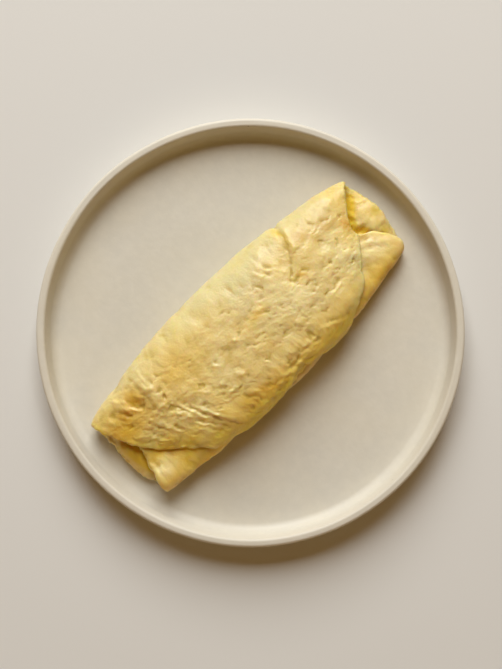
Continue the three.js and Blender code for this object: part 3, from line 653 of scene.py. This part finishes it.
def folded_sheet():
    """Grids of the outer face, the inner face, the flat sheet, the part and the border's distance."""
    share = np.linspace(0, 1, LENGTH_SPANS + 1)
    share = share - END_CROWDING * np.sin(2 * math.pi * share) / (2 * math.pi)
    outer, inner, chart, parts, border = [], [], [], [], []
    for part, t, along, remaining in sheet_lines():
        low, high = end_of(part, t, "low"), end_of(part, t, "high")
        spots = np.array([[along, 0.0], [along, FRAY_APART]])
        fray = sum(far * gradient_noise(spots, size, 3) for far, size in FRAYS)
        x = mix(low - fray[0], high + fray[1], share)
        to_end = np.minimum(share, 1 - share) * (high - low)
        y, z = section(part, t, x, to_end)
        y1, z1 = section(part, min(1, t + SLOPE_STEP), x, to_end)
        y0, z0 = section(part, max(0, t - SLOPE_STEP), x, to_end)
        run = np.hypot(y1 - y0, z1 - z0)
        inward = np.minimum(to_end, min(along, remaining))
        full = room(part, t, x, to_end) + 0 * x
        deep = mix(np.minimum(SHEET_EDGE, full), full, 1 - np.exp(-inward / EDGE_TAPER))
        outer.append(place(x, y, z))
        inner.append(place(x, y - deep * (z1 - z0) / run, z + deep * (y1 - y0) / run))
        chart.append(np.stack([x, along + 0 * x], axis=-1))
        parts.append(np.full(x.shape, part))
        border.append(inward)
    return (np.array(grid) for grid in (outer, inner, chart, parts, border))


# ---- Relief of the skin ----
def crease_field(x, y, creases):
    """Sum of the placed ridges and grooves at x, y; each fades out at its two ends."""
    field = np.zeros_like(x)
    for height, width, *points in creases:
        points = np.array(points, float).reshape(-1, 2)
        reach = CREASE_REACH * width
        low, high = points.min(axis=0) - reach, points.max(axis=0) + reach
        near = (x > low[0]) & (x < high[0]) & (y > low[1]) & (y < high[1])
        if not near.any():
            continue
        px, py = x[near], y[near]
        best = np.full(px.shape, np.inf)
        where = np.zeros(px.shape)
        lengths = np.hypot(*np.diff(points, axis=0).T)
        done = 0.0
        for a, b, length in zip(points[:-1], points[1:], lengths):
            along = ((px - a[0]) * (b[0] - a[0]) + (py - a[1]) * (b[1] - a[1])) / length**2
            along = np.clip(along, 0, 1)
            away = np.hypot(px - mix(a[0], b[0], along), py - mix(a[1], b[1], along))
            closer = away < best
            best[closer] = away[closer]
            where[closer] = ((done + along * length) / lengths.sum())[closer]
            done += length
        fade = CREASE_TIP + (1 - CREASE_TIP) * np.sqrt(np.clip(1 - (2 * where - 1) ** 4, 0, 1))
        skirt = CREASE_SKIRT * np.exp(-((best / (SKIRT_WIDTH * width)) ** 2))
        field[near] += height * fade * (np.exp(-((best / width) ** 2)) + skirt)
    return field


def stroke_field(chart, count, seed, lengths, widths, heights, spread, ups):
    """Short seeded ridges and grooves scattered over the flat sheet."""
    rng = np.random.default_rng(seed)
    x, rows = chart[..., 0], chart[:, 0, 1]
    field = np.zeros_like(x)
    for _ in range(count):
        cx, cs = rng.uniform(-STROKE_HALF_SPREAD, STROKE_HALF_SPREAD), rng.uniform(0, rows[-1])
        long, wide, height = rng.uniform(*lengths), rng.uniform(*widths), rng.uniform(*heights)
        height *= 1 if rng.random() < ups else -1
        turn = math.radians(rng.normal(CRINKLE_TURN, spread))
        bow = rng.uniform(-STROKE_BOW, STROKE_BOW)
        first, last = np.searchsorted(rows, (cs - STROKE_REACH * long, cs + STROKE_REACH * long))
        if last <= first:
            continue
        dx, ds = x[first:last] - cx, chart[first:last, :, 1] - cs
        along = dx * math.cos(turn) + ds * math.sin(turn)
        across = ds * math.cos(turn) - dx * math.sin(turn) + bow * along**2
        field[first:last] += height * np.exp(-((along / long) ** 2) - (across / wide) ** 2)
    return field


def waves(points, sizes, seed):
    """Sum of noises, each of its own width and height."""
    return sum(height * gradient_noise(points, size, seed + i) for i, (size, height) in enumerate(sizes))


def grid_normals(grid):
    return unit(np.cross(np.gradient(grid, axis=0), np.gradient(grid, axis=1)))


def warped(points, warp, seed):
    """Points moved about by smooth noise, so that what is drawn on them wanders."""
    amount, size = warp
    shift = [gradient_noise(points, size, seed + axis) for axis in range(points.shape[-1])]
    return points + amount * np.stack(shift, axis=-1)


def crinkle_field(chart):
    """Sharp-topped irregular crinkles, drawn out along one direction."""
    turn = math.radians(CRINKLE_TURN)
    bent = warped(chart, CRINKLE_WARP, 51)
    along = bent[..., 0] * math.cos(turn) + bent[..., 1] * math.sin(turn)
    across = bent[..., 1] * math.cos(turn) - bent[..., 0] * math.sin(turn)
    lean = np.stack([along * CRINKLE_STRETCH, across], axis=-1)
    field = np.zeros(along.shape)
    level, sharpness = CRINKLE_TOPS
    for seed, (size, height) in enumerate(CRINKLE_SIZES, 61):
        ridges = level - sharpness * np.abs(gradient_noise(lean, size, seed))
        lumps = gradient_noise(bent, size, seed + 10)
        field += height * (CRINKLE_SHARE * ridges + CRINKLE_SHARE * lumps)
    return field


def roughness_of(x, y, chart):
    rough = ROUGHNESS + ROUGH_VARIATION * gradient_noise(chart, ROUGH_PATCH, 21)
    return np.clip(rough + bumps(x, y, ROUGH_SPOTS), *ROUGH_LIMITS)


def skin_relief(outer, chart, parts):
    """Height of the skin's wrinkles above the smooth folded sheet, in mm."""
    x, y = outer[..., 0], outer[..., 1]
    bent = warped(np.stack([x, y], axis=-1), CREASE_WARP, 31)
    variation, size = CREASE_UNEVEN
    uneven = CREASE_SHARE * (1 + variation * gradient_noise(chart, size, 35))
    upper, flap = parts >= LEFT_FOLD, parts <= RIGHT_FOLD
    above = crease_field(bent[..., 0], bent[..., 1], TOP_CREASES) * upper
    below = crease_field(bent[..., 0], bent[..., 1], TUCK_CREASES) * flap * FLAP_CREASE_SHARE
    swells = bumps(x, y, TUCK_SWELLS) * flap
    marks = stroke_field(chart, *STROKES) + stroke_field(chart, *PITS)
    broad = waves(chart, BROAD_WAVES, 7)
    clusters = smooth(gradient_noise(chart, CLUSTER_SIZE, 36) + CLUSTER_SHIFT)
    fine = roughness_of(x, y, chart) * (crinkle_field(chart) + clusters * marks)
    return uneven * (above + below) + (broad + swells) + fine


def end_relief(inner, chart, parts):
    """Height of the crumbly lumps on the inside of the bottom layer, near its two ends."""
    x, y = inner[..., 0], inner[..., 1]
    bent = warped(chart, LUMP_WARP, 81)
    field = bumps(bent[..., 0], bent[..., 1] + y - chart[..., 1], END_LUMPS, LUMP_SHARPNESS)
    start, length = LUMPS_FROM
    near_end = smooth((np.abs(x) - start) / length)
    grooves = crease_field(bent[..., 0], y, END_GROOVES)
    return (parts == BASE) * near_end * (field + waves(bent, END_GRAIN, 91) + grooves)


def rolled_lip(outer, chart, parts, border):
    """Height of the lip that curls up, here more and there less, along the top flap's left end."""
    height, where, wide = ROLL
    variation, size = ROLL_VARIATION
    uneven = smooth(ROLL_LEAST + variation * gradient_noise(chart, size, 37))
    growing = smooth((ROLL_FULL[0] - outer[..., 1]) / ROLL_FULL[1])
    fading = smooth((ROLL_END[0] - outer[..., 0]) / ROLL_END[1])
    ridge = np.exp(-(((border - where) / wide) ** 2))
    strength = uneven * (ROLL_LEAST + (1 - ROLL_LEAST) * growing)
    return height * strength * ridge * (parts >= COVER) * fading


# ---- Meshes ----
def mesh_object(name, vertices, faces):
    mesh = bpy.data.meshes.new(name)
    mesh.from_pydata((np.asarray(vertices) * MM).tolist(), [], faces)
    mesh.shade_smooth()
    mesh.update()
    piece = bpy.data.objects.new(name, mesh)
    bpy.context.scene.collection.objects.link(piece)
    return piece


def add_values(piece, name, values):
    attribute = piece.data.attributes.new(name, "FLOAT", "POINT")
    attribute.data.foreach_set("value", np.asarray(values, np.float32).ravel())


def quads(rows, flip):
    """Faces between the rows of a grid of vertex numbers."""
    a, b, c, d = rows[:-1, :-1], rows[:-1, 1:], rows[1:, 1:], rows[1:, :-1]
    order = (a, b, c, d) if flip else (a, d, c, b)
    return np.stack(order, axis=-1).reshape(-1, 4).tolist()


def blurred(grid, radius):
    """Box blur of a grid along both directions, twice."""
    size = 2 * radius + 1
    for _ in range(4):
        sums = np.cumsum(np.pad(grid, ((radius + 1, radius), (0, 0)), mode="edge"), axis=0)
        grid = (sums[size:] - sums[:-size]).T / size
    return grid


def border_loop(grid):
    """The border of a grid, all the way round."""
    return np.concatenate([grid[0, :-1], grid[:-1, -1], grid[-1, :0:-1], grid[:0:-1, 0]])


def inner_lines():
    """Numbers of the rows and of the columns of the outer face that the inner face takes."""
    rows, start = [0], 0
    for _, spans, _, stride in PATH:
        rows += range(start + stride, start + spans + 1, stride)
        start += spans
    last = LENGTH_SPANS - FINE_ENDS
    columns = [*range(FINE_ENDS), *range(FINE_ENDS, last, MIDDLE_STRIDE), *range(last, LENGTH_SPANS + 1)]
    return np.array(rows), np.array(columns)


def stitched(ring, inside, places):
    """Triangles from a closed ring to a sparser one inside it, which meets it at some places."""
    faces = []
    ends = np.append(places[1:], len(ring))
    for start, end, here, there in zip(places, ends, inside, np.roll(inside, -1)):
        middle = (start + end) // 2
        for i in range(start, end):
            corner = here if i < middle else there
            faces.append((ring[i], ring[(i + 1) % len(ring)], corner))
        faces.append((ring[middle], there, here))
    return np.array(faces).tolist()


def hem_rings(outer, inner):
    """Rounds the border from the outer face to the inner one: share of the way, and points."""
    edge, low = border_loop(outer), border_loop(inner)
    back = border_loop(np.pad(outer[1:-1, 1:-1], ((1, 1), (1, 1), (0, 0)), mode="edge"))
    away = unit(edge - back)
    thick = np.minimum(np.linalg.norm(edge - low, axis=1, keepdims=True), EDGE_THICKNESS)
    for share, bulge in HEM_PROFILE:
        ring = mix(edge, low, share) + away * thick * bulge
        ring[:, 2] = np.maximum(ring[:, 2], WELL_LEVEL + LEAST_GAP)
        yield share, ring


def outer_relief(outer, chart, parts, border):
    """Height of all relief on the outer face, less where a layer or the plate lies close to it."""
    x, y, z = np.moveaxis(outer, -1, 0)
    relief = skin_relief(outer, chart, parts) + rolled_lip(outer, chart, parts, border)
    relief = np.where(parts == BASE, 0, relief)
    low, high = cover_end["low"](y), cover_end["high"](y)
    under = smooth(x - low + COVER_MARGIN) * smooth(high - x + COVER_MARGIN) * (parts <= RIGHT_FOLD)
    relief = mix(relief, np.minimum(relief, UNDER_COVER), under)
    return relief * smooth((z - WELL_LEVEL - RELIEF_START[0]) / RELIEF_START[1])


def closed_faces(rows, columns, kept):
    """Faces of the closed sheet; its points are the outer face's, the inner face's and the hem's."""
    outside = np.arange(kept.size).reshape(kept.shape)
    inside = np.zeros(kept.shape, int)
    inside[kept] = kept.size + np.arange(kept.sum())
    faces = quads(outside, False) + quads(inside[np.ix_(rows, columns)], True)
    upper, total = border_loop(outside), kept.size + int(kept.sum())
    for _ in HEM_PROFILE:
        lower = np.arange(total, total + len(upper))
        square = [upper, np.roll(upper, -1), np.roll(lower, -1), lower]
        faces += np.stack(square, axis=-1).tolist()
        upper, total = lower, total + len(lower)
    places = np.flatnonzero(border_loop(kept))
    return faces + stitched(upper, border_loop(inside)[places], places)


def build_omelette():
    outer, inner, chart, parts, border = folded_sheet()
    relief = outer_relief(outer, chart, parts, border)
    outer = outer + grid_normals(outer) * relief[..., None]
    outer[..., 2] = np.maximum(outer[..., 2], WELL_LEVEL + LEAST_GAP)
    lumps = end_relief(inner, chart, parts)
    inner[..., 2] += lumps
    depth = DEEP_GAIN * bumps(inner[..., 0], inner[..., 1], DEEP_SPOTS) - DEEP_START
    depth = smooth(depth) * (parts == BASE)

    rows, columns = inner_lines()
    kept = np.zeros(parts.shape, bool)
    kept[np.ix_(rows, columns)] = True
    shares, hem = zip(*hem_rings(outer, inner))
    points = np.concatenate([outer.reshape(-1, 3), inner[kept], *hem])
    piece = mesh_object("folded_omelette", points, closed_faces(rows, columns, kept))

    none = [np.zeros(len(ring)) for ring in hem]
    values = {
        # how far the relief stands above or below its blurred self, which the material paints as
        # highlight on ridges and shade in hollows
        "relief_shade": (relief - blurred(relief, HOLLOW_BLUR), lumps - blurred(lumps, LUMP_BLUR), none),
        "inner": (0 * depth, depth, [share * border_loop(depth) for share in shares]),
        "border": (border, border, none),
    }
    for name, (outside, inside, on_hem) in values.items():
        add_values(piece, name, np.concatenate([outside.ravel(), inside[kept], *on_hem]))
    top = np.concatenate([parts.ravel(), parts[kept], *[border_loop(parts)] * len(hem)]) >= LEFT_FOLD
    x, y = points[:, 0], points[:, 1]
    for name, (above, below) in COLOUR_SPOTS.items():
        add_values(piece, name, np.where(top, bumps(x, y, above), bumps(x, y, below)))
    return piece


def arc(radius, height, size, start, end, steps):
    angles = np.radians(np.linspace(start, end, steps + 1))
    return [(radius + size * math.cos(a), height + size * math.sin(a)) for a in angles]


def level_line(height, start, end, count):
    return [(r, height) for r in np.linspace(start, end, count)]


def plate_profile():
    """Radius and height round the plate's section, from the axis below to the axis above."""
    lip_inside = PLATE_RADIUS - LIP_WIDTH
    cove_centre = lip_inside - WALL_DRAFT - COVE_RADIUS
    lip_level = PLATE_HEIGHT - LIP_ROUND
    inner_start = FOOT_INNER - FOOT_ROUND
    heel_start = UNDERSIDE_RADIUS - HEEL_GAP
    heel_height = FOOT_HEIGHT + UNDERSIDE_RISE + HEEL_RADIUS
    return np.array([
        *level_line(FOOT_HEIGHT, AXIS_RING, inner_start - FOOT_INSIDE_GAP, 14),
        *arc(inner_start + FOOT_FILLET_IN, FOOT_HEIGHT - FOOT_FILLET, FOOT_FILLET, 90, 0, 3),
        *arc(FOOT_INNER + FOOT_EDGE_INSET, FOOT_EDGE, FOOT_EDGE, 180, 270, 4),
        *arc(FOOT_OUTER - FOOT_EDGE_INSET, FOOT_EDGE, FOOT_EDGE, 270, 360, 4),
        *arc(FOOT_OUTER + FOOT_ROUND, FOOT_HEIGHT - FOOT_FILLET_DOWN, FOOT_FILLET, 150, 90, 3),
        *level_line(FOOT_HEIGHT + FOOT_FILLET, FOOT_OUTER + FOOT_OUTSIDE_GAP, heel_start, 5),
        *arc(UNDERSIDE_RADIUS, heel_height, HEEL_RADIUS, -90, -WALL_LEAN, 10),
        *arc(PLATE_RADIUS - LIP_ROUND, lip_level, LIP_ROUND, -WALL_LEAN, 90, 10),
        *arc(lip_inside + LIP_ROUND, lip_level, LIP_ROUND, 90, 180 - WALL_LEAN, 9),
        *arc(cove_centre, WELL_LEVEL + COVE_RADIUS, COVE_RADIUS, -WALL_LEAN, -90, 14),
        *level_line(WELL_LEVEL, cove_centre - COVE_GAP, AXIS_RING, 26),
    ])


def build_plate():
    """The plate, turned on its axis, with the slight unevenness of a hand-glazed one."""
    profile = plate_profile()
    turns = np.arange(PLATE_SEGMENTS) / PLATE_SEGMENTS * 2 * math.pi
    ring = np.stack([np.cos(turns), np.sin(turns)], axis=-1)
    radius, height = profile.T[..., None, None]
    points = np.concatenate([radius * ring, np.repeat(height, PLATE_SEGMENTS, axis=1)], axis=-1)
    glazed = smooth((height - FOOT_HEIGHT - GLAZE_START[0]) / GLAZE_START[1])
    size, amount = GLAZE_WANDER
    points[..., :2] += ring * gradient_noise(points, size, 41)[..., None] * amount * glazed
    size, amount = GLAZE_WAVES
    points[..., 2:] += gradient_noise(points, size, 42)[..., None] * amount * glazed
    points[..., 2:] = np.minimum(points[..., 2:], PLATE_HEIGHT)

    rows = np.arange(len(profile) * PLATE_SEGMENTS).reshape(len(profile), PLATE_SEGMENTS)
    rows = np.concatenate([rows, rows[:, :1]], axis=1)
    faces = quads(rows, True)
    vertices = points.reshape(-1, 3)
    under, middle = len(vertices), len(vertices) + 1
    centres = [[0, 0, profile[0, 1]], [0, 0, points[-1, :, 2].mean()]]
    for i in range(PLATE_SEGMENTS):
        faces.append((int(rows[0, i + 1]), int(rows[0, i]), under))
        faces.append((int(rows[-1, i]), int(rows[-1, i + 1]), middle))
    return mesh_object("stoneware_plate", np.concatenate([vertices, centres]), faces)


# ---- Materials ----
COLOUR_A, COLOUR_B, COLOUR_OUT = 6, 7, 2  # the colour sockets of a Mix node


class Shading:
    """A material's node tree, with short calls for the nodes used here."""

    def __init__(self, name, colour):
        self.material = bpy.data.materials.new(name)
        self.material.use_nodes = True
        self.tree = self.material.node_tree
        self.tree.nodes.clear()
        self.coordinates = self.node("ShaderNodeTexCoord").outputs["Object"]
        self.colour = colour

    def node(self, kind, inputs=(), **settings):
        """A new node; inputs are pairs of a socket's name or number and what goes into it."""
        made = self.tree.nodes.new(kind)
        for key, value in settings.items():
            setattr(made, key, value)
        for key, value in inputs:
            self.put(made.inputs[key], value)
        return made

    def put(self, socket, value):
        if isinstance(value, bpy.types.NodeSocket):
            self.tree.links.new(value, socket)
        elif isinstance(value, tuple) and len(value) == 3 and socket.type == "RGBA":
            socket.default_value = (*value, 1.0)
        else:
            socket.default_value = value

    def math(self, operation, *inputs, clamp=False):
        made = self.node("ShaderNodeMath", enumerate(inputs), operation=operation, use_clamp=clamp)
        return made.outputs[0]

    def ramp(self, value, low, high, to_low=0.0, to_high=1.0):
        inputs = enumerate((value, low, high, to_low, to_high))
        made = self.node("ShaderNodeMapRange", inputs, interpolation_type="SMOOTHSTEP", clamp=True)
        return made.outputs[0]

    def attribute(self, name):
        return self.node("ShaderNodeAttribute", attribute_name=name).outputs["Fac"]

    def height(self):
        return self.node("ShaderNodeSeparateXYZ", [(0, self.coordinates)]).outputs["Z"]

    def noise(self, scale, detail=3.0, roughness=0.5, turn=0.0, stretch=(1, 1, 1), distortion=0.0):
        """Noise whose lumps are about 1/scale metres wide."""
        turned = (0, 0, math.radians(turn))
        inputs = [("Vector", self.coordinates), ("Rotation", turned), ("Scale", stretch)]
        mapping = self.node("ShaderNodeMapping", inputs, vector_type="TEXTURE")
        inputs = [("Vector", mapping.outputs[0]), ("Scale", scale), ("Detail", detail)]
        inputs += [("Roughness", roughness), ("Distortion", distortion)]
        return self.node("ShaderNodeTexNoise", inputs).outputs["Fac"]

    def paint(self, factor, colour):
        """Lays a colour over what is there already, as far as the factor says."""
        inputs = [("Factor", factor), (COLOUR_A, self.colour), (COLOUR_B, colour)]
        self.colour = self.node("ShaderNodeMix", inputs, data_type="RGBA").outputs[COLOUR_OUT]

    def bump(self, height, strength, distance):
        inputs = [("Strength", strength), ("Distance", distance), ("Height", height)]
        return self.node("ShaderNodeBump", inputs).outputs["Normal"]

    def finish(self, **inputs):
        """The surface shader; a keyword such as Coat_Weight sets the input Coat Weight."""
        pairs = [(key.replace("_", " "), value) for key, value in inputs.items()]
        shader = self.node("ShaderNodeBsdfPrincipled", [("Base Color", self.colour), *pairs])
        self.node("ShaderNodeOutputMaterial", [("Surface", shader.outputs[0])])
        return self.material


def egg_material():
    s = Shading("egg", EGG_MIDDLE)
    relief_shade, clouds = s.attribute("relief_shade"), s.noise(24, detail=2)
    streaks = s.noise(150, detail=3, roughness=0.6, turn=-48, stretch=(2.2, 1, 1), distortion=0.5)
    mottle = s.noise(230, detail=3, roughness=0.55, turn=-40, stretch=(1.5, 1, 1), distortion=0.7)

    # the skin's own mottling
    s.paint(s.ramp(s.noise(75, detail=4, roughness=0.55), 0.4, 0.66), EGG_LIGHT)
    s.paint(s.ramp(streaks, 0.45, 0.72, 0.0, 0.45), EGG_TAN)
    s.paint(s.ramp(mottle, 0.5, 0.3, 0.0, 0.6), EGG_TAN)
    s.paint(s.ramp(mottle, 0.52, 0.7, 0.0, 0.6), EGG_MOTTLE_AND_PAINTED_LIGHT)
    # pale patches with a painted sheen, painted light on places that lie in shade, and golden patches
    # with a painted shade tint
    light = s.math("ADD", s.attribute("pale_and_sheen"), s.ramp(s.attribute("border"), 0.0, 1.8, 0.4, 0.0))
    s.paint(s.math("ADD", light, s.ramp(clouds, 0.5, 0.75, 0.0, 0.35), clamp=True), EGG_PALE)
    painted_light = s.math("MULTIPLY", s.attribute("painted_light"), s.ramp(s.noise(180, detail=2), 0.3, 0.6, 0.4, 1.0))
    s.paint(s.math("MULTIPLY", painted_light, 0.9, clamp=True), EGG_MOTTLE_AND_PAINTED_LIGHT)
    s.paint(s.math("ADD", s.attribute("gold_and_shade_tint"), s.ramp(clouds, 0.5, 0.3, 0.0, 0.3), clamp=True), EGG_GOLD)
    # painted highlight on the ridges of the relief, and painted shade in its grooves
    s.paint(s.ramp(relief_shade, 0.05, 0.4, 0.0, 0.25), EGG_RIDGE_HIGHLIGHT)
    s.paint(s.ramp(relief_shade, -0.04, -0.4, 0.0, 0.85), EGG_GROOVE_SHADE)
    # browned and moist places, and amber that is partly orange patches and partly a painted shade tint;
    # the amber fades out down the hanging side
    speckle = s.ramp(s.noise(230, detail=4, roughness=0.7), 0.35, 0.6, 0.5, 1.0)
    s.paint(s.math("MULTIPLY", s.attribute("browning"), speckle, clamp=True), EGG_BROWN)
    s.paint(s.math("MULTIPLY", s.attribute("wet"), 0.8, clamp=True), EGG_WET)
    amber_and_shade_tint = s.math("MULTIPLY", s.attribute("amber_and_shade_tint"), s.ramp(s.height(), *AMBER_HEIGHTS, 0.25, 1.0))
    s.paint(s.math("MULTIPLY", amber_and_shade_tint, 0.9, clamp=True), EGG_AMBER)
    s.paint(s.math("MULTIPLY", s.attribute("inner"), 0.85, clamp=True), EGG_INSIDE)
    # painted shade, as strong as the deep spots say
    s.paint(s.attribute("deep"), EGG_PAINTED_SHADE)

    grain = s.math("ADD", s.noise(900, detail=3, roughness=0.6), s.math("MULTIPLY", streaks, 1.2))
    return s.finish(
        Roughness=s.ramp(s.noise(130, detail=3), 0.35, 0.7, 0.36, 0.56),
        Normal=s.bump(grain, 0.35, 0.0006),
        Subsurface_Weight=0.6,
        Subsurface_Radius=(1.0, 0.6, 0.14),
        Subsurface_Scale=0.005,
        Coat_Weight=0.2,
        Coat_Roughness=0.28,
        IOR=1.42,
    )


def glaze_material():
    s = Shading("glazed_stoneware", GLAZE_COOL)
    height, mottle = s.height(), s.noise(190, detail=4, roughness=0.65)
    s.paint(s.ramp(s.noise(28, detail=4, roughness=0.6), 0.3, 0.7), GLAZE_WARM)
    s.paint(s.ramp(mottle, 0.35, 0.75, 0.0, 0.35), GLAZE_LIGHT)
    thin_glaze = s.math("MULTIPLY", s.ramp(height, *THIN_GLAZE_HEIGHTS), 0.3)
    s.paint(s.math("MULTIPLY", thin_glaze, s.ramp(s.noise(120, detail=4), 0.3, 0.6, 0.6, 1.0)), GLAZE_RIM)
    inputs = [("Vector", s.coordinates), ("Scale", SPECK_DENSITY)]
    specks = s.node("ShaderNodeTexVoronoi", inputs, feature="F1")
    rare = s.node("ShaderNodeSeparateColor", [(0, specks.outputs["Color"])])
    size = s.ramp(rare.outputs[0], SPECK_RARITY, 1.0, 0.0, SPECK_SIZE)
    dark = s.math("LESS_THAN", specks.outputs["Distance"], size)
    s.paint(s.math("MULTIPLY", dark, 0.6), GLAZE_SPECK)
    s.paint(s.ramp(height, *BARE_CLAY_HEIGHTS, 1.0, 0.0), BARE_CLAY)
    return s.finish(
        Roughness=s.ramp(mottle, 0.3, 0.7, 0.46, 0.56),
        Normal=s.bump(s.noise(300, detail=2), 0.1, 0.0008),
        IOR=1.42,
    )


# ---- Scene ----
def add_camera():
    pixel = 2 * PLATE_RADIUS / PLATE_IN_IMAGE
    turn = math.radians(IMAGE_TURN)
    right = Vector((math.cos(turn), -math.sin(turn), 0))
    up = Vector((math.sin(turn), math.cos(turn), 0))
    shift = (right * PLATE_OFF_CENTRE[0] + up * PLATE_OFF_CENTRE[1]) * pixel
    data = bpy.data.cameras.new("camera")
    data.sensor_width = SENSOR
    data.lens = SENSOR * CAMERA_ABOVE_RIM * PLATE_IN_IMAGE / (2 * PLATE_RADIUS) / IMAGE_LONG_SIDE
    data.clip_start = 0.01
    camera = bpy.data.objects.new("camera", data)
    camera.location = (Vector((0, 0, PLATE_HEIGHT + CAMERA_ABOVE_RIM)) - shift) * MM
    camera.rotation_euler = (0, 0, -turn)
    bpy.context.scene.collection.objects.link(camera)
    bpy.context.scene.camera = camera


def add_area(name, azimuth, elevation, distance, size, power, colour):
    """A rectangular light that looks at the middle of the plate."""
    turn, rise = math.radians(azimuth), math.radians(elevation)
    toward = Vector((math.cos(turn) * math.cos(rise), math.sin(turn) * math.cos(rise), math.sin(rise)))
    data = bpy.data.lights.new(name, "AREA")
    data.shape = "RECTANGLE"
    data.size, data.size_y = size
    data.energy = power
    data.color = colour
    light = bpy.data.objects.new(name, data)
    light.location = toward * distance
    light.rotation_euler = toward.to_track_quat("Z", "Y").to_euler()
    bpy.context.scene.collection.objects.link(light)


def add_world():
    """A warm dim room, which the camera sees as a pale backdrop."""
    world = bpy.data.worlds.new("room")
    world.use_nodes = True
    nodes, links = world.node_tree.nodes, world.node_tree.links
    room_light, backdrop = nodes["Background"], nodes.new("ShaderNodeBackground")
    room_light.inputs["Color"].default_value = (*ROOM_COLOUR, 1)
    room_light.inputs["Strength"].default_value = ROOM_STRENGTH
    backdrop.inputs["Color"].default_value = (*BACKDROP, 1)
    seen, either = nodes.new("ShaderNodeLightPath"), nodes.new("ShaderNodeMixShader")
    outputs = (seen.outputs["Is Camera Ray"], room_light.outputs[0], backdrop.outputs[0])
    for socket, output in zip(either.inputs, outputs):
        links.new(output, socket)
    links.new(either.outputs[0], nodes["World Output"].inputs["Surface"])
    bpy.context.scene.world = world


def set_colours():
    """Plain display colours, so that a lit surface shows its own colour."""
    view = bpy.context.scene.view_settings
    view.view_transform = "Standard"
    view.look = "None"


def add_floor():
    turns = np.linspace(0, 2 * math.pi, FLOOR_CORNERS, endpoint=False)
    corners = [(FLOOR_RADIUS * math.cos(turn), FLOOR_RADIUS * math.sin(turn), 0) for turn in turns]
    mesh = bpy.data.meshes.new("table")
    mesh.from_pydata(corners, [], [tuple(range(FLOOR_CORNERS))])
    floor = bpy.data.objects.new("table", mesh)
    bpy.context.scene.collection.objects.link(floor)
    floor.data.materials.append(Shading("table", FLOOR_COLOUR).finish(Roughness=0.7))


set_colours()
add_camera()
for light_name, light_values in LIGHTS.items():
    add_area(light_name, *light_values)
add_world()
add_floor()

plate = build_plate()
plate.data.materials.append(glaze_material())
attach(plate, "root")
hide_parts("plate")

omelette = build_omelette()
omelette.data.materials.append(egg_material())
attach(omelette, "root")
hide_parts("omelette")
